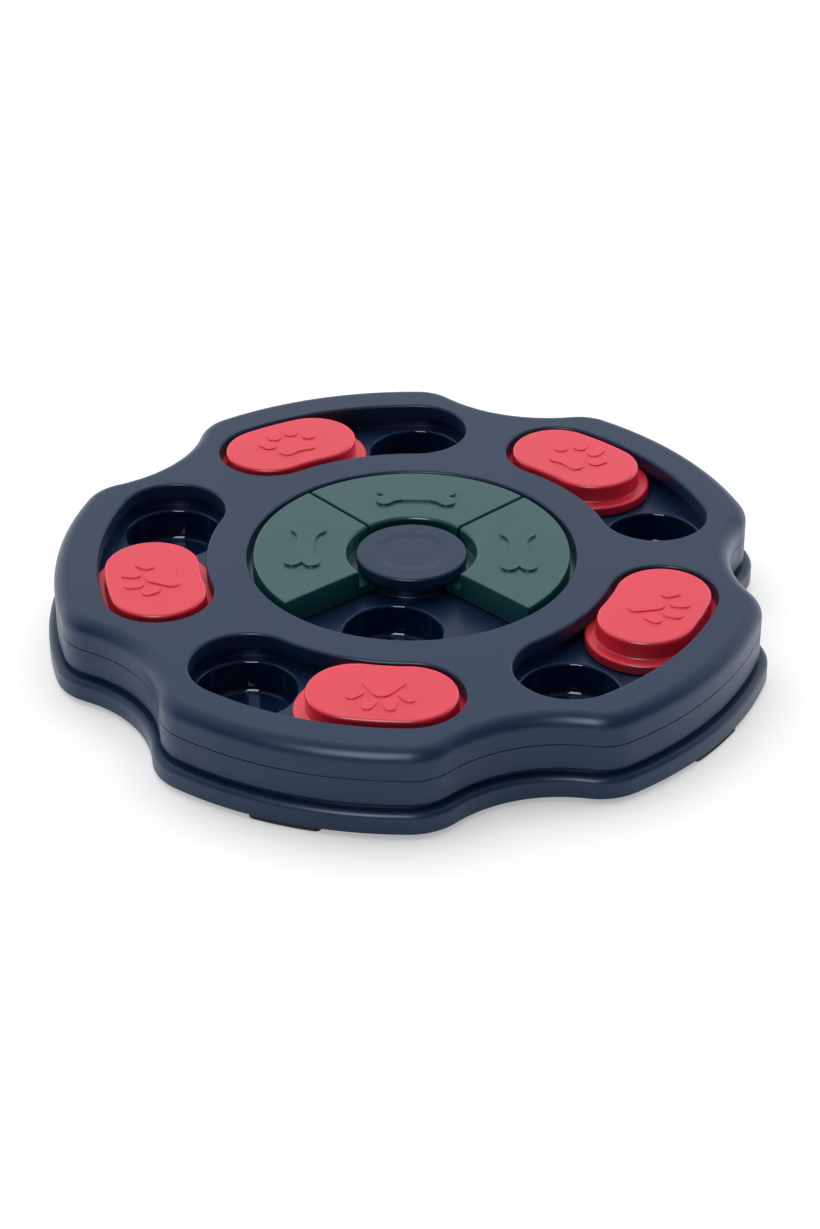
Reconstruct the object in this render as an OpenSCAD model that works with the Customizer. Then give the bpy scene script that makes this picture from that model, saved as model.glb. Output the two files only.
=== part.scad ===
// Puzzle feeder for dogs: a five-lobed case with ten outer wells under five
// curved sliders, and four centre wells under three sliding ring segments.
// The wells are in trays that hang in the lower case, below the top cover.
// Millimetres. The origin lies on the case's axis, on the surface it stands on.

/* [Case outline] */
// Radius of the lobes at the side wall
lobe_r = 122.5; // [116:0.5:130]
// Distance from the axis to the deepest point of a notch
notch_r = 109.5; // [107:0.5:112]
// Radius of the hollow curve of a notch
notch_arc_r = 49; // [44:1:56]
// Radius of the rounded corner between a lobe and a notch
corner_r = 17.5; // [15:0.5:20]

/* [Case heights] */
// Height from the underside of the flange to the flat top face
body_h = 28.5; // [28:0.5:34]
// Height of the top cover's side wall, from the seam to the top face
cover_wall_h = 10.4; // [9.8:0.1:11.4]
// Radius of the cover's rounded outer edge
top_edge_r = 5; // [4:0.25:6.5]
// Thickness of the moulded walls
wall = 2.5; // [2:0.1:2.8]

/* [Flange] */
// How far the flange stands out from the side wall
flange_out = 3; // [2.6:0.1:4]
// Height of the flange
flange_h = 7.5; // [6.5:0.25:8.5]
// Radius of the flange's rounded upper edge
flange_edge_r = 2.2; // [1:0.1:2.5]
// Height of the groove above the flange
groove_h = 1.8; // [1:0.1:3]
// Depth of the groove above the flange
groove_d = 1.2; // [0.5:0.1:1.4]

/* [Deck, trays and wells] */
// Depth of the deck below the top face
deck_drop = 9.7; // [9.2:0.1:10.6]
// Width of the lip by which a tray rests on the deck
tray_lip_w = 1.8; // [1.2:0.1:2]
// Thickness of the lip of a tray
tray_lip_t = 1.5; // [1:0.1:3]
// Radius of a well
well_r = 16.5; // [13:0.5:17]
// Depth of a well below the deck
well_depth = 11.7; // [8:0.1:12.5]
// Thickness of a well's wall and floor
well_wall = 1.8; // [1.2:0.1:2.2]
// Radius of the rounded rim of a well
well_rim_r = 1.5; // [0.5:0.1:1.6]
// Distance from the axis to the centre of a centre well
centre_well_at = 37; // [36:0.5:38]

/* [Slots and sliders] */
// Radius of the curve that the slots and sliders follow
slot_r = 89; // [88:0.25:90]
// Width of a slot
slot_w = 37; // [35:0.5:39]
// Angle from the middle of a slot to the centre of its round end
slot_half_deg = 18.2; // [17:0.1:18.6]
// Radius of the rounded lip of a slot and of the centre opening
lip_r = 1; // [0.5:0.25:2]
// Gap between a slider's button and the slot's edge
button_gap = 2.4; // [1.5:0.1:3]
// Angle from the middle of a slider to the centre of its round end
slider_half_deg = 5.5; // [4.5:0.1:6.5]
// Height of the button above the top face
button_rise = 0.6; // [0:0.1:3]
// Radius of the button's rounded upper edge
button_edge_r = 1; // [0.5:0.1:2]
// How far a slider's foot stands out from its button
foot_out = 4; // [3.6:0.1:4.2]
// Thickness of the feet of the sliders and of the segments
foot_t = 3.5; // [2.5:0.1:3.6]
// Thickness of the walls and ribs of the sliders and segments
toy_wall = 2; // [1.5:0.1:2.5]

/* [Centre] */
// Radius of the round opening in the cover
opening_r = 56.5; // [55.5:0.25:57]
// Gap between the segments and the edge of the opening
segment_rim_gap = 2.2; // [1.5:0.1:3]
// Radius of the hole that the segments leave around the cap
segment_in_r = 22.4; // [21:0.1:24]
// Angle of the ring that one segment takes
segment_pitch_deg = 88.2; // [86:0.1:88.6]
// Gap between neighbouring segments
segment_gap = 1; // [0.6:0.1:1.4]
// Height of the segments above the top face
segment_rise = 0.5; // [0:0.1:2]
// Radius of a segment's rounded inner edge
segment_edge_r = 1.2; // [1:0.1:3]
// Turn of the ring of segments from its place square over the wells
ring_turn_deg = 7.3; // [0:0.1:45]
// Radius of the cap
cap_r = 19; // [18:0.25:20]
// Thickness of the cap's disc
cap_t = 3.9; // [3:0.1:4.5]

/* [Feet] */
// Height of the foot pads under the flange
foot_h = 1.5; // [1:0.1:3]
// Length of a foot pad along the flange
pad_len = 25; // [18:1:34]
// Width of a foot pad across the flange
pad_w = 12; // [9:0.5:14]
// Depth of the recess that a foot pad sits in
pad_recess = 0.8; // [0.5:0.1:1.2]

/* [Screws] */
// Radius of the screws' shanks
screw_r = 1.5; // [1.2:0.1:1.7]
// Radius of the screws' heads
screw_head_r = 3; // [2.6:0.1:3.2]
// Distance from the axis to a case screw
screw_at = 99; // [98:0.5:100]

/* [Hidden] */
LOBES = 5;
LOBE_STEP = 360 / LOBES;
// The first lobe's direction: the centre wells then lie on the X and Y axes
LOBE_TURN = -99;
CENTRE_WELLS = 4;
SEGMENTS = 3;

// Running clearance under and beside the moving pieces, and above them
clear = 0.3;
clear_top = 0.4;
// Clearance of a tray in its hole in the deck
tray_clear = 0.2;
// Clearance of a screw in its pilot hole and in its clearance hole
pilot_clear = 0.05;
through_clear = 0.3;
eps = 1;

// Heights, from the ground up
flange_z = foot_h;
flange_top_z = flange_z + flange_h;
top_z = flange_z + body_h;
seam_z = top_z - cover_wall_h;
deck_z = top_z - deck_drop;
well_floor_z = deck_z - well_depth;
foot_z = deck_z + clear;
foot_top_z = foot_z + foot_t;
skirt_z = foot_top_z + clear_top;
guide_top_z = skirt_z - clear;

// Screw seats, measured from the ground
head_h = 1.8;
boss_z = flange_z + 4.5;
head_seat_z = boss_z + 2;
head_z = head_seat_z - head_h;
boss_wall = 3;
boss_r = screw_r + boss_wall;
cover_screw_end = 4;

// Keeps the corners of a slider's hollow off the lines between its outer corners
hollow_inset_deg = 0.2;

// Guides on the deck and skirts under the cover
guide_t = 1.6;
skirt_t = 2;
guide_clear = 0.4;

slot_hw = slot_w / 2;
button_hw = slot_hw - button_gap;
slider_foot_hw = button_hw + foot_out;
slider_rest_deg = slot_half_deg - slider_half_deg;
button_top_z = top_z + button_rise;

segment_out_r = opening_r - segment_rim_gap;
segment_foot_r = segment_out_r + foot_out;
segment_top_z = top_z + segment_rise;
tray_hw = slider_foot_hw + guide_clear + guide_t;
centre_tray_r = segment_foot_r + guide_clear + guide_t;
shoulder_r = cap_r - 1.5;
post_r = cap_r - 4;
segment_foot_in_r = post_r + guide_clear + 0.1;
stem_r = screw_r + 2.5;
stem_clear = 0.1;
stem_z = head_seat_z + wall;

// Steps along each stretch of an outline, and around a rounded edge
lobe_steps = 8;
corner_steps = 5;
notch_steps = 6;
bean_arc_steps = 8;
bean_end_steps = 10;
edge_steps = 4;
well_steps = 3;
$fn = 96;

NAVY = [0.215, 0.262, 0.345];
DEEP_NAVY = [0.110, 0.145, 0.215];
RED = [0.90, 0.33, 0.38];
GREEN = [0.16, 0.34, 0.32];
STEEL = [0.72, 0.73, 0.75];
PAD = [0.12, 0.14, 0.18];

// ---- Outlines --------------------------------------------------------------

function polar(r, a) = [r * cos(a), r * sin(a)];

// Points of an arc without its last one, so that the next stretch adds it
function arc(c, r, a0, a1, n) = [for (i = [0 : n - 1]) c + polar(r, a0 + (a1 - a0) * i / n)];

// A lobe's corner circle touches the lobe's circle from inside and the notch's
// circle from outside. Distances are along and across the notch's own axis.
notch_c = notch_r + notch_arc_r;
corner_from_axis = lobe_r - corner_r;
corner_from_notch = corner_r + notch_arc_r;
corner_along = (pow(corner_from_axis, 2) - pow(corner_from_notch, 2) + pow(notch_c, 2)) / (2 * notch_c);
corner_across = sqrt(pow(corner_from_axis, 2) - pow(corner_along, 2));
lobe_half_deg = LOBE_STEP / 2 - atan2(corner_across, corner_along);
notch_half_deg = atan2(corner_across, notch_c - corner_along);

// The case's outline, moved outwards by d
function case_outline(d) = [for (k = [0 : LOBES - 1])
    let (t = LOBE_TURN + k * LOBE_STEP, n = t + LOBE_STEP / 2, u = t + LOBE_STEP)
    each concat(
        arc([0, 0], lobe_r + d, t - lobe_half_deg, t + lobe_half_deg, lobe_steps),
        arc(polar(corner_from_axis, t + lobe_half_deg), corner_r + d,
            t + lobe_half_deg, n + notch_half_deg, corner_steps),
        arc(polar(notch_c, n), -(notch_arc_r - d), n + notch_half_deg, n - notch_half_deg, notch_steps),
        arc(polar(corner_from_axis, u - lobe_half_deg), corner_r + d,
            n - notch_half_deg, u - lobe_half_deg, corner_steps)
    )
];

// A curved slot with round ends, of half-width hw, between two end centres
function bean(hw, from_deg, to_deg) = concat(
    arc([0, 0], slot_r + hw, from_deg, to_deg, bean_arc_steps),
    arc(polar(slot_r, to_deg), hw, to_deg, to_deg + 180, bean_end_steps),
    arc([0, 0], slot_r - hw, to_deg, from_deg, bean_arc_steps),
    arc(polar(slot_r, from_deg), hw, from_deg - 180, from_deg, bean_end_steps)
);

// Steps of a quarter round, as [inset, rise] pairs from its foot to its head
function quarter_round(r, n = edge_steps) = [for (i = [0 : n])
    let (a = 90 * i / n) [r * (1 - cos(a)), r * sin(a)]];

// ---- Solids from outlines --------------------------------------------------

// The four-sided bands between rings of n points, each as two triangles
function bands(n, last) = [for (j = [0 : last - 1], i = [0 : n - 1])
    let (a = j * n + i, b = j * n + (i + 1) % n)
    each [[a, b + n, b], [a, a + n, b + n]]];

function turned_over(triangles) = [for (t = triangles) [t[2], t[1], t[0]]];

// Triangles from one middle point to a ring of n points that starts at point first
function fan(n, first, middle) = [for (i = [0 : n - 1]) [middle, first + i, first + (i + 1) % n]];

// Triangles across a long ring, between points at equal steps either side of its tip
function ladder(n, first, tip) = [for (i = [0 : n / 2 - 1])
    let (a = first + (tip + i) % n, a2 = first + (tip + i + 1) % n,
         b = first + (tip - i + n) % n, b2 = first + (tip - i - 1 + n) % n)
    each concat(i < n / 2 - 1 ? [[a, a2, b2]] : [], i > 0 ? [[a, b2, b]] : [])];

// The case's outline at several heights, from [outset, height] pairs
module case_loft(profile) {
    n = len(case_outline(0));
    last = len(profile) - 1;
    points = [for (p = profile, q = case_outline(p[0])) [q[0], q[1], p[1]]];
    low = len(points);
    polyhedron(
        points = concat(points, [[0, 0, profile[0][1]], [0, 0, profile[last][1]]]),
        faces = concat(fan(n, 0, low), bands(n, last), turned_over(fan(n, last * n, low + 1))),
        convexity = 8
    );
}

// A curved slot's outline at several heights, from [half-width, height] pairs
module bean_loft(profile, from_deg, to_deg) {
    n = 2 * (bean_arc_steps + bean_end_steps);
    tip = n - bean_end_steps / 2;
    last = len(profile) - 1;
    polyhedron(
        points = [for (p = profile, q = bean(p[0], from_deg, to_deg)) [q[0], q[1], p[1]]],
        faces = concat(ladder(n, 0, tip), bands(n, last), turned_over(ladder(n, last * n, tip))),
        convexity = 4
    );
}

module case_prism(d, z0, z1) {
    translate([0, 0, z0]) linear_extrude(z1 - z0) polygon(case_outline(d));
}

module bean_prism(hw, z0, z1, from_deg, to_deg) {
    translate([0, 0, z0]) linear_extrude(z1 - z0) polygon(bean(hw, from_deg, to_deg));
}

module slot_prism(hw, z0, z1) {
    bean_prism(hw, z0, z1, -slot_half_deg, slot_half_deg);
}

module rod(r, z0, z1) {
    translate([0, 0, z0]) cylinder(r = r, h = z1 - z0);
}

module ring(r_out, r_in, z0, z1) {
    difference() {
        rod(r_out, z0, z1);
        rod(r_in, z0 - eps, z1 + eps);
    }
}

module at_lobes() {
    for (k = [0 : LOBES - 1]) rotate(LOBE_TURN + k * LOBE_STEP) children();
}

module at_notches() {
    rotate(LOBE_STEP / 2) at_lobes() children();
}

module at_case_screws() {
    at_notches() translate([screw_at, 0, 0]) children();
}

module at_outer_wells() {
    for (s = [-1, 1]) rotate(s * slot_half_deg) translate([slot_r, 0, 0]) children();
}

module at_centre_wells() {
    for (k = [0 : CENTRE_WELLS - 1]) rotate(k * 360 / CENTRE_WELLS) translate([centre_well_at, 0, 0]) children();
}

// A stretch of the flange's rim, between two radii
module rim_sector(r_in, r_out, len, z0, z1) {
    half = asin(len / 2 / r_out);
    translate([0, 0, z0]) rotate(-half) rotate_extrude(angle = 2 * half)
        translate([r_in, 0]) square([r_out - r_in, z1 - z0]);
}

// ---- Case ------------------------------------------------------------------

module lower_shell() {
    difference() {
        case_loft(concat(
            [[flange_out, flange_z], [flange_out, flange_top_z - flange_edge_r]],
            [for (i = [1 : edge_steps]) let (p = quarter_round(flange_edge_r)[i])
                [flange_out - p[0], flange_top_z - flange_edge_r + p[1]]],
            [[-groove_d, flange_top_z], [-groove_d, flange_top_z + groove_h],
             [0, flange_top_z + groove_h], [0, seam_z]]
        ));
        case_prism(flange_out - wall, flange_z - eps, flange_top_z - wall);
        case_prism(-wall - groove_d / 2, flange_z - eps, deck_z - wall);
    }
    case_prism(-wall - clear, deck_z - wall, deck_z);
    at_lobes() rim_sector(lobe_r + flange_out - pad_w - wall, lobe_r + flange_out - wall / 2,
        pad_len + 2 * wall, flange_z, flange_top_z - wall / 2);
}

// Side wall, flange and deck, with holes in the deck for the trays
module lower_case() {
    color(NAVY) difference() {
        union() {
            lower_shell();
            at_case_screws() rod(boss_r, boss_z, deck_z - wall / 2);
        }
        at_lobes() slot_prism(tray_hw + tray_clear, deck_z - wall - eps, deck_z + eps);
        rod(centre_tray_r + tray_clear, deck_z - wall - eps, deck_z + eps);
        at_case_screws() screw_hole(deck_z + eps);
        at_lobes() rim_sector(lobe_r + flange_out - pad_w, lobe_r + flange_out + eps,
            pad_len, flange_z - eps, flange_z + pad_recess);
    }
}

// A hole for a screw's shank up to a height, with a recess below for its head
module screw_hole(z1) {
    rod(screw_r + through_clear, boss_z - eps, z1);
    rod(screw_head_r + through_clear, boss_z - eps, head_seat_z);
}

// The cup that holds a well, before it is bored
module well_cup() {
    rod(well_r + well_wall, well_floor_z - well_wall, deck_z - wall / 2);
}

// The bore of a well, with a rounded rim and a rounded foot
module well_bore() {
    rim = quarter_round(well_rim_r, well_steps);
    foot_r = 2 * well_rim_r;
    foot = quarter_round(foot_r, well_steps);
    rotate_extrude() polygon(concat(
        [[0, well_floor_z]],
        [for (i = [well_steps : -1 : 0]) [well_r - foot[i][0], well_floor_z + foot_r - foot[i][1]]],
        [for (p = rim) [well_r + p[0], deck_z - well_rim_r + p[1]]],
        [[well_r + well_rim_r, deck_z + eps], [0, deck_z + eps]]
    ));
}

// Tray number k: two wells, and the wall that guides a slider's foot
module outer_tray(k) {
    color(DEEP_NAVY) rotate(LOBE_TURN + (k - 1) * LOBE_STEP) difference() {
        union() {
            slot_prism(tray_hw, deck_z - wall, guide_top_z);
            slot_prism(tray_hw + tray_lip_w, deck_z, deck_z + tray_lip_t);
            at_outer_wells() well_cup();
        }
        slot_prism(tray_hw - guide_t, deck_z, guide_top_z + eps);
        at_outer_wells() well_bore();
    }
}

// The centre tray: four wells, the guide wall of the ring and the cap's post
module centre_tray() {
    color(DEEP_NAVY) difference() {
        union() {
            rod(centre_tray_r, deck_z - wall, deck_z);
            ring(centre_tray_r, centre_tray_r - guide_t, deck_z - wall, guide_top_z);
            ring(centre_tray_r + tray_lip_w, centre_tray_r - guide_t / 2, deck_z, deck_z + tray_lip_t);
            at_centre_wells() well_cup();
            rod(stem_r + boss_wall, boss_z, deck_z - wall / 2);
            rod(post_r, deck_z - wall / 2, skirt_z);
        }
        at_centre_wells() well_bore();
        screw_hole(stem_z + eps);
        rod(stem_r + stem_clear, stem_z, skirt_z + eps);
    }
}

module cover_shell() {
    edge = quarter_round(top_edge_r);
    hollow_r = top_edge_r - wall;
    hollow = quarter_round(hollow_r);
    difference() {
        case_loft(concat([[0, seam_z]], [for (p = edge) [-p[0], top_z - top_edge_r + p[1]]]));
        case_loft(concat([[-wall, seam_z - eps]],
            [for (p = hollow) [-wall - p[0], top_z - wall - hollow_r + p[1]]]));
    }
}

// The cut for a slot, opening out at its rounded lip
module slot_cut() {
    bean_loft(concat([[slot_hw, skirt_z - eps]],
        [for (p = quarter_round(lip_r)) [slot_hw + p[0], top_z - lip_r + p[1]]],
        [[slot_hw + lip_r, top_z + eps]]), -slot_half_deg, slot_half_deg);
}

module opening_cut() {
    rotate_extrude() polygon(concat([[0, skirt_z - eps], [opening_r, skirt_z - eps]],
        [for (p = quarter_round(lip_r)) [opening_r + p[0], top_z - lip_r + p[1]]],
        [[opening_r + lip_r, top_z + eps], [0, top_z + eps]]));
}

module top_cover() {
    color(NAVY) difference() {
        union() {
            cover_shell();
            at_lobes() slot_prism(slot_hw + skirt_t, skirt_z, top_z - wall / 2);
            rod(opening_r + skirt_t, skirt_z, top_z - wall / 2);
            at_case_screws() rod(boss_r, deck_z, top_z - wall / 2);
        }
        at_lobes() slot_cut();
        opening_cut();
        at_case_screws() rod(screw_r + pilot_clear, deck_z - eps, top_z - cover_screw_end);
    }
}

// ---- Moving pieces ---------------------------------------------------------

// Slider number k, at the counter-clockwise end of its slot
module slider(k) {
    from_deg = slider_rest_deg - slider_half_deg;
    to_deg = slider_rest_deg + slider_half_deg;
    color(RED) rotate(LOBE_TURN + (k - 1) * LOBE_STEP) difference() {
        bean_loft(concat(
            [[slider_foot_hw, foot_z], [slider_foot_hw, foot_top_z - toy_wall / 4],
             [slider_foot_hw - toy_wall / 4, foot_top_z], [button_hw, foot_top_z]],
            [for (p = quarter_round(button_edge_r)) [button_hw - p[0], button_top_z - button_edge_r + p[1]]]
        ), from_deg, to_deg);
        difference() {
            bean_prism(button_hw - toy_wall, foot_z - eps, button_top_z - toy_wall,
                from_deg + hollow_inset_deg, to_deg - hollow_inset_deg);
            ring(slot_r + toy_wall / 2, slot_r - toy_wall / 2, foot_z - 2 * eps, top_z);
            rotate(slider_rest_deg) translate([slot_r - slot_w, -toy_wall / 2, foot_z - 2 * eps])
                cube([2 * slot_w, toy_wall, top_z]);
        }
    }
}

// One cell of a segment's hollow underside
module segment_cell(r_in, r_out, from_deg, to_deg) {
    rotate(from_deg) rotate_extrude(angle = to_deg - from_deg)
        translate([r_in, foot_z - eps]) square([r_out - r_in, segment_top_z - toy_wall - foot_z + eps]);
}

// Segment number k, counted from the middle one: 1 middle, 2 after it, 3 before it
module segment(k) {
    place = [0, 1, -1][k - 1];
    start_deg = 90 + ring_turn_deg + (place - 0.5) * segment_pitch_deg;
    cells = 4;
    margin_deg = 6;
    rib_deg = 3;
    cell_deg = (segment_pitch_deg - 2 * margin_deg - (cells - 1) * rib_deg) / cells;
    mid_r = (segment_in_r + segment_out_r) / 2;
    corner = toy_wall / 5;
    color(GREEN) rotate(start_deg) difference() {
        rotate_extrude(angle = segment_pitch_deg) polygon(concat(
            [[segment_foot_in_r, foot_z], [segment_foot_r, foot_z], [segment_foot_r, foot_top_z],
             [segment_out_r, foot_top_z], [segment_out_r, segment_top_z - corner],
             [segment_out_r - corner, segment_top_z]],
            [for (i = [edge_steps : -1 : 0]) let (p = quarter_round(segment_edge_r)[i])
                [segment_in_r + p[0], segment_top_z - segment_edge_r + p[1]]],
            [[segment_in_r, foot_top_z], [segment_foot_in_r, foot_top_z]]
        ));
        translate([0, -eps, foot_z - eps])
            cube([2 * opening_r, eps + segment_gap / 2, 2 * top_z]);
        rotate(segment_pitch_deg) translate([0, -segment_gap / 2, foot_z - eps])
            cube([2 * opening_r, eps + segment_gap / 2, 2 * top_z]);
        for (i = [0 : cells - 1]) {
            a = margin_deg + i * (cell_deg + rib_deg);
            segment_cell(segment_in_r + toy_wall, mid_r - toy_wall / 2, a, a + cell_deg);
            segment_cell(mid_r + toy_wall / 2, segment_out_r - toy_wall, a, a + cell_deg);
        }
    }
}

// ---- Centre cap, screws and feet -------------------------------------------

module centre_cap() {
    edge = 0.7;
    color(NAVY) difference() {
        union() {
            rotate_extrude() polygon([
                [0, skirt_z], [shoulder_r, skirt_z], [shoulder_r, top_z - cap_t],
                [cap_r - edge / 2, top_z - cap_t], [cap_r, top_z - cap_t + edge / 2],
                [cap_r, top_z - edge], [cap_r - edge / 3, top_z - edge / 3], [cap_r - edge, top_z], [0, top_z]
            ]);
            rod(stem_r, stem_z, skirt_z + eps);
        }
        rod(screw_r + pilot_clear, stem_z - eps, top_z - cover_screw_end);
    }
}

// A pan-head screw, driven up from below into a pilot hole
module screw() {
    rod(screw_r, head_seat_z - eps / 2, top_z - cover_screw_end - eps);
    difference() {
        rod(screw_head_r, head_z, head_seat_z);
        for (a = [0, 90]) rotate(a)
            translate([-screw_head_r * 0.6, -screw_r / 4, head_z - eps])
                cube([screw_head_r * 1.2, screw_r / 2, eps + head_h / 2]);
    }
}

module cap_screw() {
    color(STEEL) screw();
}

module case_screws() {
    color(STEEL) at_case_screws() screw();
}

// Foot pad number k, in its recess under the flange
module foot_pad(k) {
    color(PAD) rotate(LOBE_TURN + (k - 1) * LOBE_STEP)
        rim_sector(lobe_r + flange_out - pad_w + clear / 2, lobe_r + flange_out,
            pad_len - clear, 0, flange_z + pad_recess);
}

lower_case();
top_cover();
outer_tray(1);  // outer_tray_1
outer_tray(2);  // outer_tray_2
outer_tray(3);  // outer_tray_3
outer_tray(4);  // outer_tray_4
outer_tray(5);  // outer_tray_5
centre_tray();
slider(1);  // slider_1
slider(2);  // slider_2
slider(3);  // slider_3
slider(4);  // slider_4
slider(5);  // slider_5
segment(1);  // segment_1
segment(2);  // segment_2
segment(3);  // segment_3
centre_cap();
cap_screw();
case_screws();
foot_pad(1);  // foot_pad_1
foot_pad(2);  // foot_pad_2
foot_pad(3);  // foot_pad_3
foot_pad(4);  // foot_pad_4
foot_pad(5);  // foot_pad_5
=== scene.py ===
"""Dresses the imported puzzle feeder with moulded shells, finishes, a pale stage, lamps and a camera.

Every mesh is worked out in millimetres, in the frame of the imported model, and is
turned to metres when it becomes an object.
"""

from __future__ import annotations

import logging
import math
from dataclasses import dataclass, field
from enum import Enum
from typing import Iterable, NamedTuple, Sequence

import bmesh
import bpy
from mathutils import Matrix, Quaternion, Vector
from mathutils.geometry import tessellate_polygon


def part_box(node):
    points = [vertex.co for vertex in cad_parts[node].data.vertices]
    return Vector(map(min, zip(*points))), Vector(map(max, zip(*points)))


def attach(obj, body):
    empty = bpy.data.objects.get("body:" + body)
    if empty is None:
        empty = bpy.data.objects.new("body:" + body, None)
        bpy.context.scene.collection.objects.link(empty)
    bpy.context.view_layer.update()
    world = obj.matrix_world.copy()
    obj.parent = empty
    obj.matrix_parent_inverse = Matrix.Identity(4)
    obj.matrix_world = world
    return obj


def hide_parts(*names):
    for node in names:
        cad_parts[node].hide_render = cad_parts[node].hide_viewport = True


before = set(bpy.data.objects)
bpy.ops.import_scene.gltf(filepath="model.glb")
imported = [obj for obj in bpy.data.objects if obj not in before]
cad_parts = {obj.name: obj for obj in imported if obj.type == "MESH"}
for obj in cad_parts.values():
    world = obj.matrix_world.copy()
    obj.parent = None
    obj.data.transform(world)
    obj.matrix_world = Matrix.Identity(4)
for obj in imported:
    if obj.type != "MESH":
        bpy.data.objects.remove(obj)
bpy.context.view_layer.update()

LOG = logging.getLogger("puzzle_feeder")
MM = 0.001

LOBES = 5
LOBE_STEP = 360 / LOBES
FIRST_LOBE_DEG = -99.0
SEGMENTS = 3
CENTRE_WELLS = 4
UP = 1
DOWN = -1

Thing = bpy.types.Object
Tree = bpy.types.NodeTree
Node = bpy.types.Node
Socket = bpy.types.NodeSocket
Span = tuple[float, float]

AXIS = Vector((0, 0, 0)).freeze()
SAME_PLACE_MM = 1e-4
FLAT = 1e-6
FIGURE_STEP_MM = 0.5
FIGURE_STEP_DEG = 15
SCREW_STEP_DEG = 15


class Slot(Enum):
    """The record's material slots."""

    CASE = "case_plastic"
    TRAY = "tray_plastic"
    SLIDER = "slider_plastic"
    SEGMENT = "segment_plastic"
    SCREW = "screw_steel"
    PAD = "pad_rubber"


# ---- Outlines in plan ------------------------------------------------------------


def direction(degrees: float) -> Vector:
    """Returns the unit vector in plan at an angle from +X."""
    angle = math.radians(degrees)
    return Vector((math.cos(angle), math.sin(angle), 0))


class Arc(NamedTuple):
    """A stretch of a circle. Its points look outwards along their own angle.

    A negative radius makes a hollow stretch, with its centre outside the outline.
    """

    centre: Vector
    radius: float
    start_deg: float
    end_deg: float


@dataclass(frozen=True)
class Loop:
    """A closed counter-clockwise outline in plan, with the way out at each point."""

    points: tuple[Vector, ...]
    outward: tuple[Vector, ...]

    def grown(self, distance: float) -> list[Vector]:
        """Returns the points moved outwards by a distance."""
        return [p + n * distance for p, n in zip(self.points, self.outward)]

    def placed(self, origin: Vector, turn_deg: float) -> Loop:
        """Returns the outline turned about its own zero and then moved.

        Args:
            origin: Where the outline's own zero goes.
            turn_deg: How far it is turned, counter-clockwise.

        Returns:
            The outline in its new place.
        """
        across = direction(turn_deg)
        along = direction(turn_deg + 90)

        def turned(v: Vector) -> Vector:
            return across * v.x + along * v.y

        return Loop(tuple(origin + turned(p) for p in self.points), tuple(turned(n) for n in self.outward))


def alike(one: Vector, other: Vector) -> bool:
    """Returns whether two places or ways are the same but for rounding."""
    return (one - other).length < SAME_PLACE_MM


def loop_of(arcs: Iterable[Arc], step_mm: float = 1.6, step_deg: float = 9.0, least: int = 2) -> Loop:
    """Joins arcs into one outline, with straight lines between arcs that don't meet.

    Args:
        arcs: The arcs, in counter-clockwise order.
        step_mm: The longest stretch between two points of an arc.
        step_deg: The widest turn between two points of an arc.
        least: The fewest steps along an arc.

    Returns:
        The closed outline.
    """
    points: list[Vector] = []
    outward: list[Vector] = []
    for arc in arcs:
        turn = arc.end_deg - arc.start_deg
        length = abs(math.radians(turn) * arc.radius)
        steps = max(least, math.ceil(length / step_mm), math.ceil(abs(turn) / step_deg))
        for i in range(steps + 1):
            way = direction(arc.start_deg + turn * i / steps)
            place = arc.centre + way * arc.radius
            if points and alike(place, points[-1]) and alike(way, outward[-1]):
                continue
            points.append(place)
            outward.append(way)
    if alike(points[0], points[-1]) and alike(outward[0], outward[-1]):
        points.pop()
        outward.pop()
    return Loop(tuple(points), tuple(outward))


def round_loop(centre: Vector, step_deg: float = 5.0) -> Loop:
    """Returns a point's outline: grown by a radius, it is a circle about the centre."""
    return loop_of([Arc(centre, 0, 0, 360)], step_deg=step_deg)


def spine_loop(radius: float, start_deg: float, end_deg: float) -> Loop:
    """Returns a curved line's outline: grown by a half-width, it is a slot with round ends.

    Args:
        radius: Radius of the line about the object's axis.
        start_deg: Angle of its clockwise end.
        end_deg: Angle of its counter-clockwise end.

    Returns:
        The outline, along the line's outer side and back along its inner side.
    """
    return loop_of([
        Arc(AXIS, radius, start_deg, end_deg),
        Arc(direction(end_deg) * radius, 0, end_deg, end_deg + 180),
        Arc(AXIS, -radius, end_deg + 180, start_deg + 180),
        Arc(direction(start_deg) * radius, 0, start_deg + 180, start_deg + 360),
    ], step_deg=6.0)


def sector_loop(inner_r: float, outer_r: float, start_deg: float, end_deg: float, corner: float) -> Loop:
    """Returns the outline of a ring's sector with rounded corners.

    Args:
        inner_r: Inner radius.
        outer_r: Outer radius.
        start_deg: Angle of the clockwise side.
        end_deg: Angle of the counter-clockwise side.
        corner: Radius of the corners.

    Returns:
        The closed outline.
    """
    out_turn = math.degrees(math.asin(corner / (outer_r - corner)))
    in_turn = math.degrees(math.asin(corner / (inner_r + corner)))
    a, b = start_deg, end_deg
    return loop_of([
        Arc(AXIS, outer_r, a + out_turn, b - out_turn),
        Arc(direction(b - out_turn) * (outer_r - corner), corner, b - out_turn, b + 90),
        Arc(direction(b - in_turn) * (inner_r + corner), corner, b + 90, b - in_turn + 180),
        Arc(AXIS, -inner_r, b - in_turn + 180, a + in_turn + 180),
        Arc(direction(a + in_turn) * (inner_r + corner), corner, a + in_turn + 180, a + 270),
        Arc(direction(a + out_turn) * (outer_r - corner), corner, a - 90, a + out_turn),
    ], step_mm=2.5, step_deg=22.5)


# ---- Profiles and shells -----------------------------------------------------------


class Corner(NamedTuple):
    """A corner of a profile: distance out from the outline, height, and rounding radius."""

    out: float
    z: float
    radius: float = 0.0


class Station(NamedTuple):
    """A point of a rounded profile, with the way out of the material there."""

    out: float
    z: float
    normal_out: float
    normal_z: float


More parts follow.
